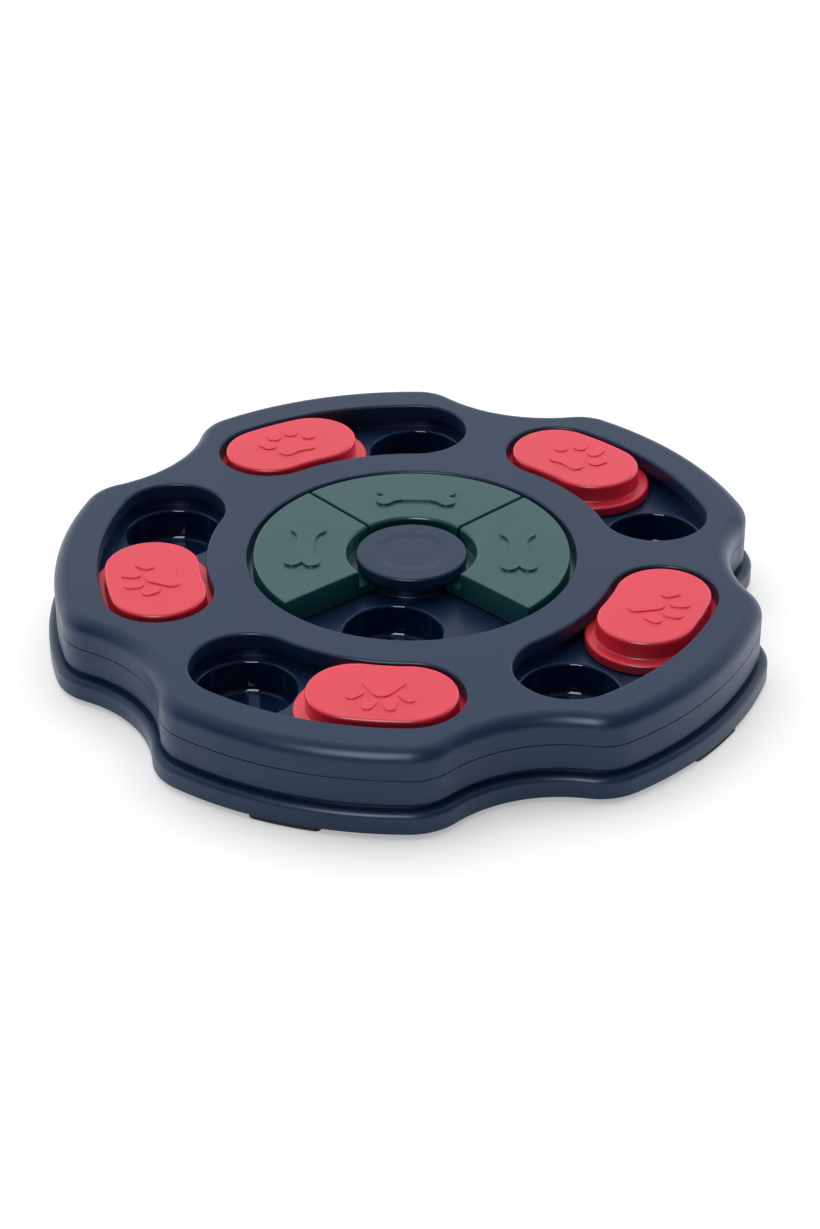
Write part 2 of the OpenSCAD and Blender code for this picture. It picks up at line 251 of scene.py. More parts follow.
def arc_steps(radius: float) -> int:
    """Returns how many steps a quarter turn of a fillet takes."""
    if radius < 0.6:
        return 3
    if radius < 1.4:
        return 4
    return 7 if radius < 4 else 12


def rounded(path: Sequence[Corner], closed: bool = False) -> list[Station]:
    """Rounds the corners of a profile that keeps the material on its left.

    Args:
        path: The profile's corners, in order.
        closed: Whether the last corner joins the first.

    Returns:
        The profile's stations, with exact normals.
    """
    count = len(path)
    stations: list[Station] = []
    for i, corner in enumerate(path):
        before = path[i - 1] if i or closed else None
        after = path[(i + 1) % count] if i < count - 1 or closed else None
        turn_in = heading(before, corner) if before else heading(corner, after)
        turn_out = heading(corner, after) if after else turn_in
        turn = math.remainder(turn_out - turn_in, math.tau)
        if abs(turn) < FLAT:
            stations.append(Station(corner.out, corner.z, math.sin(turn_in), -math.cos(turn_in)))
            continue
        side = math.copysign(corner.radius, turn)
        reach = corner.radius * math.tan(abs(turn) / 2)
        centre_out = corner.out - reach * math.cos(turn_in) - side * math.sin(turn_in)
        centre_z = corner.z - reach * math.sin(turn_in) + side * math.cos(turn_in)
        steps = max(1, round(arc_steps(corner.radius) * abs(turn) / (math.pi / 2)))
        for k in range(steps + 1):
            angle = turn_in + turn * k / steps
            normal_out, normal_z = math.sin(angle), -math.cos(angle)
            stations.append(Station(
                centre_out + side * normal_out, centre_z + side * normal_z, normal_out, normal_z))
    return stations


def heading(start: Corner, end: Corner) -> float:
    """Returns the angle of the line between two corners of a profile."""
    return math.atan2(end.z - start.z, end.out - start.out)


class Shell:
    """A closed mesh of rings, bands between rings, and flat caps, with exact normals."""

    def __init__(self) -> None:
        """Starts with no points."""
        self.points: list[Vector] = []
        self.normals: list[Vector] = []
        self.faces: list[tuple[int, ...]] = []

    def add_ring(self, points: Iterable[Vector], normals: Iterable[Vector]) -> list[int]:
        """Adds a ring of points and returns their numbers."""
        first = len(self.points)
        self.points.extend(points)
        self.normals.extend(normals)
        return list(range(first, len(self.points)))

    def band(self, lower: Sequence[int], upper: Sequence[int], skip: Iterable[int] = ()) -> None:
        """Joins two rings with four-sided faces.

        Args:
            lower: The first ring.
            upper: The second ring, with as many points.
            skip: Numbers of the faces to leave open.
        """
        count = len(lower)
        left_open = set(skip)
        for i in range(count):
            if i not in left_open:
                j = (i + 1) % count
                self.faces.append((lower[i], lower[j], upper[j], upper[i]))

    def strip(self, loop: Loop, path: Sequence[Corner]) -> tuple[list[int], list[int]]:
        """Sweeps a profile round an outline.

        Args:
            loop: The outline in plan.
            path: The profile's corners, with the material on their left.

        Returns:
            The first and the last ring.
        """
        rings = []
        for s in rounded(path):
            points = [Vector((p.x, p.y, s.z)) for p in loop.grown(s.out)]
            normals = [Vector((n.x * s.normal_out, n.y * s.normal_out, s.normal_z)) for n in loop.outward]
            rings.append(self.add_ring(points, normals))
        for lower, upper in zip(rings, rings[1:]):
            self.band(lower, upper)
        return rings[0], rings[-1]

    def cap(self, outline: Sequence[int], holes: Iterable[Sequence[int]] = ()) -> None:
        """Fills a flat outline, leaving its holes open."""
        rings = [list(outline), *(list(hole) for hole in holes)]
        numbers = [i for ring in rings for i in ring]
        for triangle in tessellate_polygon([[self.points[i] for i in ring] for ring in rings]):
            self.faces.append(tuple(numbers[k] for k in triangle))

    def plug(self, loop: Loop, path: Sequence[Corner], at_end: bool = True) -> list[int]:
        """Sweeps a profile that ends, or starts, in a flat cap, and returns its open ring."""
        first, last = self.strip(loop, path)
        self.cap(last if at_end else first)
        return first if at_end else last

    def solid(self, loop: Loop, path: Sequence[Corner]) -> None:
        """Sweeps a profile that starts and ends in a flat cap."""
        for ring in self.strip(loop, path):
            self.cap(ring)

    def to_object(self, name: str) -> Thing:
        """Turns the shell into an object in metres, with its own normals.

        Args:
            name: The object's name.

        Returns:
            The new object, linked to the scene.
        """
        mesh = bpy.data.meshes.new(name)
        mesh.from_pydata([p * MM for p in self.points], [], self.faces)
        work = bmesh.new()
        work.from_mesh(mesh)
        bmesh.ops.recalc_face_normals(work, faces=work.faces)
        open_edges = sum(not edge.is_manifold for edge in work.edges)
        work.to_mesh(mesh)
        work.free()
        mesh.shade_smooth()
        mesh.normals_split_custom_set_from_vertices(self.normals)
        if open_edges:
            LOG.warning("%s has %d open edges", name, open_edges)
        thing = bpy.data.objects.new(name, mesh)
        bpy.context.scene.collection.objects.link(thing)
        return thing


# ---- Figures in relief ----------------------------------------------------------------


def lobed_loop(circles: Sequence[tuple[float, float, float]], hollows: Sequence[float]) -> Loop:
    """Joins circles into one outline, by straight tangents or by hollow curves.

    Args:
        circles: The x, y and radius of each circle, counter-clockwise.
        hollows: Radius of the hollow after each circle, or 0 for a straight tangent.

    Returns:
        The closed outline.
    """
    count = len(circles)
    centres = [Vector((x, y, 0)) for x, y, _ in circles]
    leave: list[float] = []
    arrive = [0.0] * count
    links: list[Arc | None] = []
    for i in range(count):
        j = (i + 1) % count
        gap = centres[j] - centres[i]
        way = math.degrees(math.atan2(gap.y, gap.x))
        r1, r2, hollow = circles[i][2], circles[j][2], hollows[i]
        if not hollow:
            side = way - math.degrees(math.acos(max(-1.0, min(1.0, (r1 - r2) / gap.length))))
            leave.append(side)
            arrive[j] = side
            links.append(None)
            continue
        near, far = r1 + hollow, r2 + hollow
        cosine = (near**2 + gap.length**2 - far**2) / (2 * near * gap.length)
        leave.append(way - math.degrees(math.acos(cosine)))
        middle = centres[i] + direction(leave[i]) * near
        back = centres[j] - middle
        arrive[j] = math.degrees(math.atan2(back.y, back.x)) - 180
        turn = math.remainder(arrive[j] - leave[i], 360)
        links.append(Arc(middle, -hollow, leave[i], leave[i] + turn))
    arcs: list[Arc] = []
    for i, (_, _, radius) in enumerate(circles):
        turn = (leave[i] - arrive[i]) % 360
        arcs.append(Arc(centres[i], radius, arrive[i], arrive[i] + turn))
        if links[i]:
            arcs.append(links[i])
    return loop_of(arcs, step_mm=FIGURE_STEP_MM, step_deg=FIGURE_STEP_DEG)


def bone_loop() -> Loop:
    """Returns a plain bone lying along X, 28 mm long and 13 mm wide."""
    knob_x, knob_y, knob_r = 11.0, 3.3, 3.1
    shaft_half, fillet, notch = 3.1, 6.0, 0.35
    fillet_x = knob_x - math.sqrt((knob_r + fillet) ** 2 - (shaft_half + fillet - knob_y) ** 2)
    rise = shaft_half + fillet
    to_knob = math.degrees(math.atan2(knob_y - rise, knob_x - fillet_x)) + 180
    notch_x = knob_x + math.sqrt((knob_r + notch) ** 2 - knob_y**2)
    to_notch = math.degrees(math.atan2(knob_y, notch_x - knob_x))

    half = (
        (knob_x, knob_y, knob_r, -to_notch, to_knob),
        (fillet_x, rise, -fillet, to_knob, 90),
        (-fillet_x, rise, -fillet, 90, 180 - to_knob),
        (-knob_x, knob_y, knob_r, 180 - to_knob, 180 + to_notch),
        (-notch_x, 0, -notch, 180 + to_notch, 180 - to_notch),
    )
    return loop_of([
        Arc(Vector((x * side, y * side, 0)), radius, start + turn, end + turn)
        for side, turn in ((1, 0), (-1, 180))
        for x, y, radius, start, end in half
    ], step_mm=FIGURE_STEP_MM, step_deg=FIGURE_STEP_DEG)


def paw_loops() -> list[Loop]:
    """Returns a plain paw print: a heel pad and four toe pads, toes towards +Y."""
    heel = lobed_loop([(4.3, -5.6, 2.9), (0.0, -0.6, 3.7), (-4.3, -5.6, 2.9)], [0, 0, 9.0])
    toe = lobed_loop([(0.0, 0.0, 2.5), (0.0, 2.6, 1.9)], [0, 0])
    toe_places = ((8.0, 1.2, -30), (3.3, 6.3, -9), (-3.3, 6.3, 9), (-8.0, 1.2, 30))
    return [heel, *(toe.placed(Vector((x, y, 0)), lean_deg) for x, y, lean_deg in toe_places)]


# ---- Case -------------------------------------------------------------------------------


def box_mm(node: str) -> tuple[Vector, Vector]:
    """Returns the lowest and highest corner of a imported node, in millimetres."""
    low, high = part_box(node)
    return low / MM, high / MM


@dataclass
class Levels:
    """The heights that several sub-assemblies share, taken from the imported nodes."""

    flange: float = field(default_factory=lambda: box_mm("lower_case")[0].z)
    deck: float = field(default_factory=lambda: box_mm("lower_case")[1].z)
    seam: float = field(default_factory=lambda: box_mm("top_cover")[0].z)
    top: float = field(default_factory=lambda: box_mm("top_cover")[1].z)
    guide: float = field(default_factory=lambda: box_mm("outer_tray_1")[1].z)
    cup: float = field(default_factory=lambda: box_mm("outer_tray_1")[0].z)
    post: float = field(default_factory=lambda: box_mm("centre_tray")[1].z)
    boss: float = field(default_factory=lambda: box_mm("centre_tray")[0].z)
    foot: float = field(default_factory=lambda: box_mm("slider_1")[0].z)
    foot_t: float = 3.5
    wall: float = 2.5

    @property
    def foot_top(self) -> float:
        """Returns the height of the top of the sliders' and segments' feet."""
        return self.foot + self.foot_t

    @property
    def deck_under(self) -> float:
        """Returns the height of the deck's underside."""
        return self.deck - self.wall


@dataclass
class Slots:
    """Where the curved slots, their wells and their sliders lie."""

    radius: float = 89.0
    half_width: float = 18.5
    half_deg: float = 18.2

    def lobe_deg(self, number: int) -> float:
        """Returns the direction of a lobe, counted from 1."""
        return FIRST_LOBE_DEG + (number - 1) * LOBE_STEP

    def spine(self, number: int) -> Loop:
        """Returns the centre line's outline of one slot."""
        middle = self.lobe_deg(number)
        return spine_loop(self.radius, middle - self.half_deg, middle + self.half_deg)

    def well_centres(self, number: int) -> list[Vector]:
        """Returns the centres of the two wells of one slot."""
        middle = self.lobe_deg(number)
        return [direction(middle + side * self.half_deg) * self.radius for side in (-1, 1)]


@dataclass(frozen=True)
class ScrewHole:
    """The hole that each screw goes up through, and the pilot that it bites into."""

    shank_r: float = 1.8
    head_r: float = 3.3
    head_seat: float = 8.0
    pilot_r: float = 1.55
    pilot_drop: float = 4.0

    def seat_path(self, levels: Levels, boss_r: float, boss_edge_r: float) -> list[Corner]:
        """Returns the hole's lower end: shank, recess for the head, and boss.

        Args:
            levels: The shared heights.
            boss_r: Radius of the boss round the hole.
            boss_edge_r: Radius of the boss's rounded edge.

        Returns:
            The profile's corners, down the hole and up the boss.
        """
        return [
            Corner(self.shank_r, self.head_seat, 0.1),
            Corner(self.head_r, self.head_seat, 0.1),
            Corner(self.head_r, levels.boss, 0.2),
            Corner(boss_r, levels.boss, boss_edge_r),
            Corner(boss_r, levels.deck_under, 0.5),
            Corner(boss_r + 0.6, levels.deck_under),
        ]


@dataclass
class Case:
    """The lower case, the top cover and the foot pads."""

    levels: Levels
    slots: Slots
    lobe_r: float = field(default_factory=lambda: -box_mm("top_cover")[0].y)
    notch_r: float = 109.5
    notch_arc_r: float = 49.0
    corner_r: float = 17.5
    top_edge_r: float = 5.0
    lip_r: float = 1.0
    opening_r: float = 56.5
    skirt_t: float = 2.0
    flange_out: float = 3.0
    flange_h: float = 7.5
    flange_edge_r: float = 2.2
    groove_h: float = 1.8
    groove_d: float = 1.2
    tray_half_width: float = 22.3
    centre_tray_r: float = 60.5
    screw_at: float = 99.0
    boss_r: float = 4.5
    hole: ScrewHole = ScrewHole()
    seam_gap: float = 0.25
    pad_width: float = 11.7
    pad_length: float = 24.7
    pad_inset: float = 0.15

    def outline(self) -> Loop:
        """Returns the five-lobed outline of the side wall."""
        notch_c = self.notch_r + self.notch_arc_r
        from_axis = self.lobe_r - self.corner_r
        from_notch = self.corner_r + self.notch_arc_r
        along = (from_axis**2 - from_notch**2 + notch_c**2) / (2 * notch_c)
        across = math.sqrt(from_axis**2 - along**2)
        lobe_half = LOBE_STEP / 2 - math.degrees(math.atan2(across, along))
        notch_half = math.degrees(math.atan2(across, notch_c - along))
        arcs = []
        for number in range(1, LOBES + 1):
            lobe = self.slots.lobe_deg(number)
            notch, after = lobe + LOBE_STEP / 2, lobe + LOBE_STEP
            last, first = lobe + lobe_half, after - lobe_half
            arcs += [
                Arc(AXIS, self.lobe_r, lobe - lobe_half, last),
                Arc(direction(last) * from_axis, self.corner_r, last, notch + notch_half),
                Arc(direction(notch) * notch_c, -self.notch_arc_r, notch + notch_half, notch - notch_half),
                Arc(direction(first) * from_axis, self.corner_r, notch - notch_half, first),
            ]
        return loop_of(arcs, step_mm=2.2, step_deg=4.5)

    def screw_centres(self) -> list[Vector]:
        """Returns the centres of the five case screws, one at each notch."""
        half = LOBE_STEP / 2
        return [direction(self.slots.lobe_deg(k) + half) * self.screw_at for k in range(1, LOBES + 1)]

    def build_cover(self) -> Thing:
        """Builds the top cover: rounded wall, lips with skirts, and screw bosses."""
        lv, shell = self.levels, Shell()
        ceiling, skirt = lv.top - lv.wall, lv.post
        under, top = shell.strip(self.outline(), [
            Corner(-lv.wall - 2.3, ceiling),
            Corner(-lv.wall, ceiling, 2),
            Corner(-lv.wall, lv.seam + self.seam_gap, 0.1),
            Corner(0, lv.seam + self.seam_gap, 0.12),
            Corner(0, lv.top, self.top_edge_r),
            Corner(-self.top_edge_r - 0.5, lv.top),
        ])
        openings = [(self.slots.spine(k), self.slots.half_width) for k in range(1, LOBES + 1)]
        openings.append((round_loop(AXIS, 2.5), self.opening_r))
        shafts = [
            shell.strip(loop, [
                Corner(reach + self.lip_r + 0.2, lv.top),
                Corner(reach, lv.top, self.lip_r),
                Corner(reach, skirt, 0.1),
                Corner(reach + self.skirt_t, skirt, 0.1),
                Corner(reach + self.skirt_t, ceiling, 0.5),
                Corner(reach + self.skirt_t + 0.6, ceiling),
            ])
            for loop, reach in openings
        ]
        pilot_r, pilot_top = self.hole.pilot_r, lv.top - self.hole.pilot_drop
        bosses = [
            shell.plug(round_loop(centre, SCREW_STEP_DEG), [
                Corner(pilot_r - 0.5, pilot_top),
                Corner(pilot_r, pilot_top, 0.2),
                Corner(pilot_r, lv.deck, 0.2),
                Corner(self.boss_r, lv.deck, 0.3),
                Corner(self.boss_r, ceiling, 0.4),
                Corner(self.boss_r + 0.5, ceiling),
            ], at_end=False)
            for centre in self.screw_centres()
        ]
        shell.cap(top, [upper for upper, _ in shafts])
        shell.cap(under, [*(lower for _, lower in shafts), *bosses])
        return shell.to_object("top_cover_moulding")

    def build_lower(self) -> Thing:
        """Builds the lower case: wall, grooved flange, deck with tray holes, and screw bosses."""
        lv, shell = self.levels, Shell()
        flange_top = lv.flange + self.flange_h
        groove_top = flange_top + self.groove_h
        rim_in = self.flange_out - lv.wall
        wall_in = -lv.wall - self.groove_d / 2
        under, top = shell.strip(self.outline(), [
            Corner(wall_in - 0.6, lv.deck_under),
            Corner(wall_in, lv.deck_under, 0.5),
            Corner(wall_in, flange_top - lv.wall, 0.5),
            Corner(rim_in, flange_top - lv.wall, 0.5),
            Corner(rim_in, lv.flange, 0.3),
            Corner(self.flange_out, lv.flange, 0.4),
            Corner(self.flange_out, flange_top, self.flange_edge_r),
            Corner(-self.groove_d, flange_top, 0.12),
            Corner(-self.groove_d, groove_top, 0.1),
            Corner(0, groove_top, 0.25),
            Corner(0, lv.seam, 0.12),
            Corner(-lv.wall - 0.3, lv.seam, 0.1),
            Corner(-lv.wall - 0.3, lv.deck, 0.2),
            Corner(-lv.wall - 0.7, lv.deck),
        ])
        holes = [(self.slots.spine(k), self.tray_half_width) for k in range(1, LOBES + 1)]
        holes.append((round_loop(AXIS, 3), self.centre_tray_r))
        shafts = [
            shell.strip(loop, [
                Corner(reach + 0.5, lv.deck),
                Corner(reach, lv.deck, 0.3),
                Corner(reach, lv.deck_under, 0.3),
                Corner(reach + 0.5, lv.deck_under),
            ])
            for loop, reach in holes
        ]
        shafts += [
            shell.strip(round_loop(centre, SCREW_STEP_DEG), [
                Corner(self.hole.shank_r + 0.4, lv.deck),
                Corner(self.hole.shank_r, lv.deck, 0.2),
                *self.hole.seat_path(lv, self.boss_r, 0.3),
            ])
            for centre in self.screw_centres()
        ]
        shell.cap(top, [upper for upper, _ in shafts])
        shell.cap(under, [lower for _, lower in shafts])
        for number in range(1, LOBES + 1):
            self.add_pad_seat(shell, number, flange_top - lv.wall)
        return shell.to_object("lower_case_moulding")

    def add_pad_seat(self, shell: Shell, number: int, ceiling: float) -> None:
        """Adds the block above a foot pad, inside the flange's hollow.

        Args:
            shell: The lower case's shell.
            number: The lobe, counted from 1.
            ceiling: Height of the hollow's ceiling.
        """
        gap = 0.05
        middle = self.slots.lobe_deg(number)
        outer = self.lobe_r + self.flange_out - self.levels.wall - gap
        half = math.degrees(math.asin((self.pad_length / 2 + self.levels.wall) / outer))
        inner = outer - self.pad_width + gap
        block = sector_loop(inner, outer, middle - half, middle + half, 1.5)
        shell.solid(block, [
            Corner(-0.8, self.levels.flange),
            Corner(0, self.levels.flange, 0.3),
            Corner(0, ceiling - gap, 0.3),
            Corner(-0.8, ceiling - gap),
        ])

    def build_pad(self, number: int) -> Thing:
        """Builds one soft foot pad with rounded edges, counted from 1."""
        outer = self.lobe_r + self.flange_out - self.pad_inset
        half = math.degrees(math.asin(self.pad_length / 2 / outer))
        middle = self.slots.lobe_deg(number)
        loop = sector_loop(outer - self.pad_width, outer, middle - half, middle + half, 2)
        shell = Shell()
        shell.solid(loop, [
            Corner(-1.2, 0),
            Corner(0, 0, 0.5),
            Corner(0, self.levels.flange, 0.3),
            Corner(-1.2, self.levels.flange),
        ])
        return shell.to_object(f"foot_pad_{number}_moulding")


@dataclass
class Trays:
    """The five outer trays and the centre tray, with their wells."""

    levels: Levels
    slots: Slots
    half_width: float = 22.1
    centre_r: float = 60.3
    guide_t: float = 1.6
    lip_w: float = 1.8
    lip_t: float = 1.5
    well_r: float = 16.5
    well_depth: float = 11.7
    well_wall: float = 1.8
    well_rim_r: float = 1.0
    well_foot_r: float = 2.0
    centre_well_at: float = 37.0
    post_r: float = 15.0
    stem_hole_r: float = 4.1
    stem_z: float = 10.5
    boss_r: float = 7.0
    hole: ScrewHole = ScrewHole()

    def rim_path(self, reach: float) -> list[Corner]:
        """Returns the profile of a tray's edge: side, lip, guide wall and floor."""
        lv = self.levels
        lip_top = lv.deck + self.lip_t
        inside = reach - self.guide_t
        return [
            Corner(reach - 0.8, lv.deck_under),
            Corner(reach, lv.deck_under, 0.4),
            Corner(reach, lv.deck, 0.15),
            Corner(reach + self.lip_w, lv.deck, 0.3),
            Corner(reach + self.lip_w, lip_top, 0.5),
            Corner(reach, lip_top, 0.3),
            Corner(reach, lv.guide, 0.15),
            Corner(inside, lv.guide, 0.1),
            Corner(inside, lv.deck, 0.1),
            Corner(inside - 0.8, lv.deck),
        ]

    def add_well(self, shell: Shell, centre: Vector) -> tuple[list[int], list[int]]:
        """Adds one well and the cup round it.

        Args:
            shell: The tray's shell.
            centre: The well's centre.

        Returns:
            The ring at the well's rim and the ring at the cup's root.
        """
        lv = self.levels
        floor = lv.deck - self.well_depth
        cup_r = self.well_r + self.well_wall
        rim = shell.plug(round_loop(centre, 3.6), [
            Corner(self.well_r + self.well_rim_r + 0.2, lv.deck),
            Corner(self.well_r, lv.deck, self.well_rim_r),
            Corner(self.well_r, floor, self.well_foot_r),
            Corner(self.well_r - self.well_foot_r - 0.3, floor),
        ])
        root = shell.plug(round_loop(centre, 6), [
            Corner(cup_r - 4, lv.cup),
            Corner(cup_r, lv.cup, 3.5),
            Corner(cup_r, lv.deck_under, 0.5),
            Corner(cup_r + 0.6, lv.deck_under),
        ], at_end=False)
        return rim, root

    def build_outer(self, number: int) -> Thing:
        """Builds the tray under one slot, counted from 1."""
        shell = Shell()
        under, floor = shell.strip(self.slots.spine(number), self.rim_path(self.half_width))
        wells = [self.add_well(shell, centre) for centre in self.slots.well_centres(number)]
        shell.cap(floor, [rim for rim, _ in wells])
        shell.cap(under, [root for _, root in wells])
        return shell.to_object(f"outer_tray_{number}_moulding")

    def build_centre(self) -> Thing:
        """Builds the centre tray: four wells round the post that carries the cap."""
        lv, shell = self.levels, Shell()
        under, floor = shell.strip(round_loop(AXIS, 3), self.rim_path(self.centre_r))
        wells = [
            self.add_well(shell, direction(k * 360 / CENTRE_WELLS) * self.centre_well_at)
            for k in range(CENTRE_WELLS)
        ]
        post_foot, boss_root = shell.strip(round_loop(AXIS, 7.5), [
            Corner(self.post_r + 0.7, lv.deck),
            Corner(self.post_r, lv.deck, 0.5),
            Corner(self.post_r, lv.post, 0.3),
            Corner(self.stem_hole_r, lv.post, 0.2),
            Corner(self.stem_hole_r, self.stem_z, 0.2),
            Corner(self.hole.shank_r, self.stem_z, 0.1),
            *self.hole.seat_path(lv, self.boss_r, 0.4),
        ])
        shell.cap(floor, [post_foot, *(rim for rim, _ in wells)])
        shell.cap(under, [boss_root, *(root for _, root in wells)])
        return shell.to_object("centre_tray_moulding")


# ---- Moving pieces ------------------------------------------------------------------------


def add_plateau(shell: Shell, loop: Loop, base: float, height: float, edge: float = 0.13) -> list[int]:
    """Adds a raised figure with a flat top.

    Args:
        shell: The shell that the figure stands on.
        loop: The figure's outline.
        base: Height of the face that it stands on.
        height: How far it is raised.
        edge: Radius of its edge and of its foot.

    Returns:
        The ring round the figure's foot, a hole in the face that it stands on.
    """
    return shell.plug(loop, [
        Corner(edge + 0.08, base),
        Corner(0, base, edge),
        Corner(0, base + height, edge),
        Corner(-edge - 0.08, base + height),
    ])


@dataclass
class Sliders:
    """The five sliders: raised buttons on wider feet, hollow and ribbed below."""

    levels: Levels
    slots: Slots
    half_deg: float = 5.5
    button_gap: float = 2.4
    foot_out: float = 4.0
    button_rise: float = 0.6
    button_edge_r: float = 1.0
    wall: float = 2.0
    figure_height: float = 0.45

    def build(self, number: int) -> Thing:
        """Builds one slider, counted from 1, at the counter-clockwise end of its slot."""
        lv, shell = self.levels, Shell()
        button = self.slots.half_width - self.button_gap
        foot = button + self.foot_out
        top = lv.top + self.button_rise
        middle = self.slots.lobe_deg(number) + self.slots.half_deg - self.half_deg
        spine = spine_loop(self.slots.radius, middle - self.half_deg, middle + self.half_deg)
        under, face = shell.strip(spine, [
            Corner(foot - 0.6, lv.foot),
            Corner(foot, lv.foot, 0.4),
            Corner(foot, lv.foot_top, 0.8),
            Corner(button, lv.foot_top, 0.6),
            Corner(button, top, self.button_edge_r),
            Corner(button - self.button_edge_r - 0.2, top),
        ])
        pockets = [
            shell.plug(pocket, [
                Corner(-1, top - self.wall),
                Corner(0, top - self.wall, 0.6),
                Corner(0, lv.foot, 0.3),
                Corner(0.5, lv.foot),
            ], at_end=False)
            for pocket in self.pockets(middle, button - self.wall)
        ]
        centre = direction(middle) * self.slots.radius
        figures = [
            add_plateau(shell, figure.placed(centre, middle - 90), top, self.figure_height)
            for figure in paw_loops()
        ]
        shell.cap(face, figures)
        shell.cap(under, pockets)
        return shell.to_object(f"slider_{number}_moulding")

    def pockets(self, middle: float, reach: float) -> list[Loop]:
        """Returns the outlines of the four pockets under a slider.

        Args:
            middle: The slider's direction.
            reach: Half-width of the hollow.

        Returns:
            One outline for each pocket, between the ribs and the outer wall.
        """
        corner = 1.2
        near = self.wall / 2 + corner
        end = direction(self.half_deg) * self.slots.radius
        centre = direction(middle) * self.slots.radius
        loops = []
        for side, outer in ((1, 1), (-1, 1), (-1, -1), (1, -1)):
            sag = (self.slots.radius - end.x) * outer
            far = end.y + math.sqrt((reach - corner) ** 2 - (near + sag) ** 2)
            circles = [
                (near, near, corner), (far, near, corner), (end.y, -sag, reach),
                (near, reach - corner, corner),
            ]
            mirrored = [(x * side, y * outer, r) for x, y, r in circles]
            loop = lobed_loop(mirrored[::side * outer], [0] * len(circles))
            loops.append(loop.placed(centre, middle - 90))
        return loops


@dataclass
class Segments:
    """The three ring segments, with feet under the cover and under the cap."""

    levels: Levels
    foot_in_r: float = 15.5
    foot_out_r: float = 58.3
    inner_r: float = 22.4
    outer_r: float = 54.3
    rise: float = 0.5
    pitch_deg: float = 88.2
    turn_deg: float = 7.3
    gap: float = 1.0
    inner_edge_r: float = 1.2
    edge_r: float = 0.45
    wall: float = 2.0
    bevel: float = 0.55
    bevel_steps: int = 3
    sweep_steps: int = 30
    inset_deg: float = 3.4
    cells: int = 4
    cell_margin_deg: float = 6.0
    rib_deg: float = 3.0
    bone_at: float = 36.7
    bone_height: float = 0.8

    def section(self) -> list[Station]:
        """Returns the closed cross-section, out from the axis."""
        lv, top = self.levels, self.levels.top + self.rise
        return rounded([
            Corner(self.foot_in_r, lv.foot, 0.4),
            Corner(self.foot_out_r, lv.foot, 0.4),
            Corner(self.foot_out_r, lv.foot_top, 0.5),
            Corner(self.outer_r, lv.foot_top, 0.4),
            Corner(self.outer_r, top, self.edge_r),
            Corner(self.inner_r, top, self.inner_edge_r),
            Corner(self.inner_r, lv.foot_top, 0.4),
            Corner(self.foot_in_r, lv.foot_top, 0.5),
        ], closed=True)

    def build(self, number: int) -> Thing:
        """Builds one segment: 1 in the middle, 2 after it and 3 before it."""
        shell, section = Shell(), self.section()
        place = (0, 1, -1)[number - 1]
        start = 90 + self.turn_deg + (place - 0.5) * self.pitch_deg
        end = start + self.pitch_deg
        shares = [k / self.bevel_steps for k in range(self.bevel_steps + 1)]
        rings = [self.end_ring(shell, section, start, 1, share) for share in shares]
        whole = [rings[-1]]
        for i in range(self.sweep_steps + 1):
            swept = (self.pitch_deg - 2 * self.inset_deg) * i / self.sweep_steps
            whole.append(self.sweep_ring(shell, section, start + self.inset_deg + swept))
        last_rings = [self.end_ring(shell, section, end, -1, share) for share in reversed(shares)]
        whole.append(last_rings[0])
        top_band = self.band_number(section, UP)
        under_band = self.band_number(section, DOWN)
        for stretch, skip in ((rings, ()), (whole, (top_band, under_band)), (last_rings, ())):
            for lower, upper in zip(stretch, stretch[1:]):
                shell.band(lower, upper, skip)
        shell.cap(rings[0])
        shell.cap(last_rings[-1])
        middle = (start + end) / 2
        bone = bone_loop().placed(direction(middle) * self.bone_at, middle - 90)
        figure = add_plateau(shell, bone, self.levels.top + self.rise, self.bone_height)
        shell.cap(self.face_ring(whole, top_band), [figure])
        shell.cap(self.face_ring(whole, under_band), self.add_cells(shell, start))
        return shell.to_object(f"segment_{number}_moulding")

    def band_number(self, section: Sequence[Station], facing: int) -> int:
        """Returns which stretch of the section is its widest flat face.

        Args:
            section: The closed cross-section.
            facing: UP or DOWN.

        Returns:
            The number of the stretch's first station.
        """
        count = len(section)

        def width(i: int) -> float:
            a, b = section[i], section[(i + 1) % count]
            flat = abs(a.normal_z - facing) < FLAT and abs(b.normal_z - facing) < FLAT
            return abs(a.out - b.out) if flat else 0.0

        return max(range(count), key=width)

    def face_ring(self, rings: Sequence[list[int]], band: int) -> list[int]:
        """Returns the outline of a flat face that runs along all the rings."""
        after = (band + 1) % len(rings[0])
        return [ring[band] for ring in rings] + [ring[after] for ring in reversed(rings)]

    def sweep_ring(self, shell: Shell, section: Sequence[Station], angle: float) -> list[int]:
        """Adds the cross-section at an angle about the axis."""
        across, up = direction(angle), Vector((0, 0, 1))
        return shell.add_ring(
            [across * s.out + up * s.z for s in section],
            [across * s.normal_out + up * s.normal_z for s in section],
        )

    def end_ring(
        self, shell: Shell, section: Sequence[Station], angle: float, side: int, share: float
    ) -> list[int]:
        """Adds the cross-section near an end, drawn in along the end's rounded edge.

        Args:
            shell: The segment's shell.
            section: The closed cross-section.
            angle: Angle of the segment's edge.
            side: 1 where the segment lies counter-clockwise of the edge, -1 where it lies before it.
            share: 0 on the end face, 1 where the section is whole.

        Returns:
            The new ring.
        """
        across, up = direction(angle), Vector((0, 0, 1))
        inwards = direction(angle + 90) * side
        lean = share * math.pi / 2
        inset = self.bevel * (1 - math.sin(lean))
        depth = self.gap / 2 + self.bevel * (1 - math.cos(lean))
        points, normals = [], []
        for s in section:
            out = across * s.normal_out + up * s.normal_z
            points.append(across * s.out + up * s.z + inwards * depth - out * inset)
            normals.append(out * math.sin(lean) - inwards * math.cos(lean))
        return shell.add_ring(points, normals)

